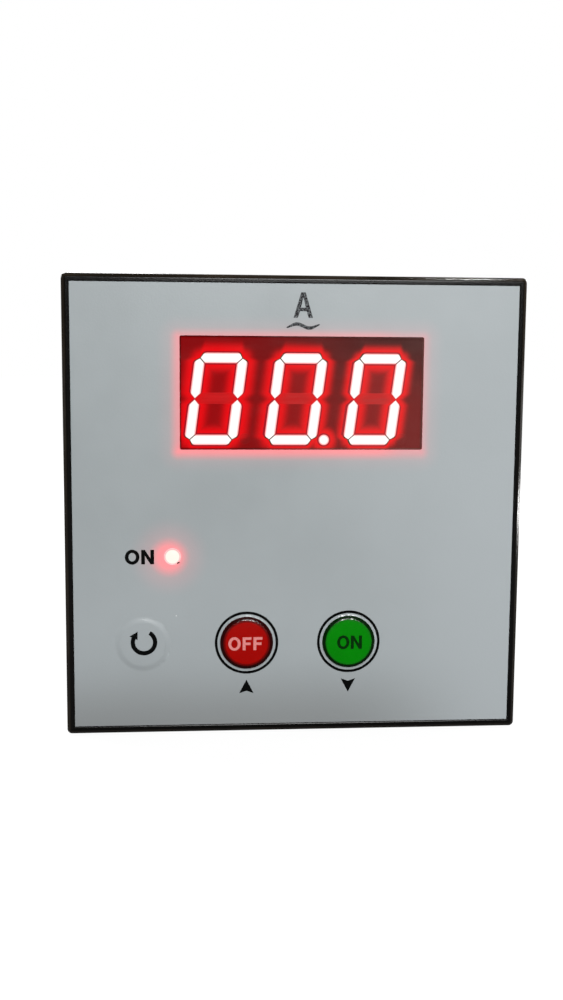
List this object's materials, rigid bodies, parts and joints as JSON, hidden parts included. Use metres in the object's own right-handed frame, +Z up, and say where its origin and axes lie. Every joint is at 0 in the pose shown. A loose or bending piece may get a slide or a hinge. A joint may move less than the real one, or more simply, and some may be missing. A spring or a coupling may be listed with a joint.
{
  "type": "digital panel meter",
  "caption": "Square flush-mount digital panel meter with a red seven-segment display behind a window, a lamp, press keys, rear screw terminals and sliding side clamps.",
  "frame": {"origin": "centre of the bezel's rear face, which sits on the front of the panel", "axes": "+X to the right and +Z up as seen from the front; the face looks along -Y and +Y goes into the panel"},
  "size_m": [0.098, 0.0694, 0.096],
  "materials": {
    "bezel_plastic": "moulded, semi-gloss brownish black",
    "film_grey": "satin printed film, cool light grey",
    "filter_red": "clear dark red, polished",
    "display_body": "moulded, matt",
    "segment_lit": "light diffusing, lit",
    "segment_unlit": "light diffusing, not lit",
    "lamp_lens": "moulded clear red, lit",
    "key_red": "printed film, embossed",
    "key_green": "printed film, embossed",
    "switch_black": "moulded, matt",
    "spring_steel": "bright spring strip",
    "tinned_metal": "tin plated",
    "circuit_board": "green solder mask on glass laminate",
    "chip_black": "moulded epoxy, matt",
    "core_steel": "stacked laminations, varnished",
    "bobbin_plastic": "moulded, matt",
    "winding_copper": "enamelled wire under clear tape",
    "relay_plastic": "moulded, matt",
    "sensor_plastic": "moulded, matt",
    "copper_bar": "bare drawn bar",
    "capacitor_sleeve": "shrunk sleeve",
    "case_plastic": "moulded with a fine texture",
    "terminal_plastic": "moulded, matt",
    "brass_contact": "stamped, bright",
    "screw_steel": "zinc plated",
    "clamp_plastic": "moulded with a fine texture"
  },
  "bodies": {
    "housing": {"front_bezel": "bezel_plastic", "front_overlay": "film_grey", "display_filter": "filter_red", "display_housing": "display_body", "display_segments_lit": "segment_lit", "display_segments_unlit": "segment_unlit", "display_pins": "tinned_metal", "indicator_led": "lamp_lens", "led_leads": "tinned_metal", "off_snap_spring": "spring_steel", "on_snap_spring": "spring_steel", "reset_snap_spring": "spring_steel", "switch_bases": "switch_black", "switch_covers": "tinned_metal", "switch_legs": "tinned_metal", "display_board": "circuit_board", "microcontroller": "chip_black", "segment_resistors": "chip_black", "main_board": "circuit_board", "header_strip": "switch_black", "header_pins": "tinned_metal", "transformer_core": "core_steel", "transformer_bobbin": "bobbin_plastic", "transformer_winding": "winding_copper", "relay": "relay_plastic", "current_transformer": "sensor_plastic", "current_bar": "copper_bar", "filter_capacitor": "capacitor_sleeve", "bridge_rectifier": "chip_black", "voltage_regulator": "chip_black", "rear_case": "case_plastic", "terminal_block": "terminal_plastic", "terminal_contacts": "brass_contact", "terminal_screws": "screw_steel"},
    "off_button": {"off_key": "key_red", "off_plunger": "switch_black"},
    "on_button": {"on_key": "key_green", "on_plunger": "switch_black"},
    "reset_button": {"reset_key": "film_grey", "reset_plunger": "switch_black"},
    "clamp_left": {"clamp_left": "clamp_plastic"},
    "clamp_right": {"clamp_right": "clamp_plastic"}
  },
  "joints": [
    {"name": "off_press", "type": "slide", "parent": "housing", "child": "off_button", "axis": [0, 1, 0], "range_m": [0, 0.0004], "stiffness_N_per_m": 3000, "deforming": ["off_snap_spring"]},
    {"name": "on_press", "type": "slide", "parent": "housing", "child": "on_button", "axis": [0, 1, 0], "range_m": [0, 0.0004], "stiffness_N_per_m": 3000, "deforming": ["on_snap_spring"]},
    {"name": "reset_press", "type": "slide", "parent": "housing", "child": "reset_button", "axis": [0, 1, 0], "range_m": [0, 0.0004], "stiffness_N_per_m": 3000, "deforming": ["reset_snap_spring"]},
    {"name": "clamp_left_slide", "type": "slide", "parent": "housing", "child": "clamp_left", "axis": [0, 1, 0], "range_m": [-0.005, 0.014]},
    {"name": "clamp_right_slide", "type": "slide", "parent": "housing", "child": "clamp_right", "axis": [0, 1, 0], "range_m": [-0.005, 0.014]}
  ]
}
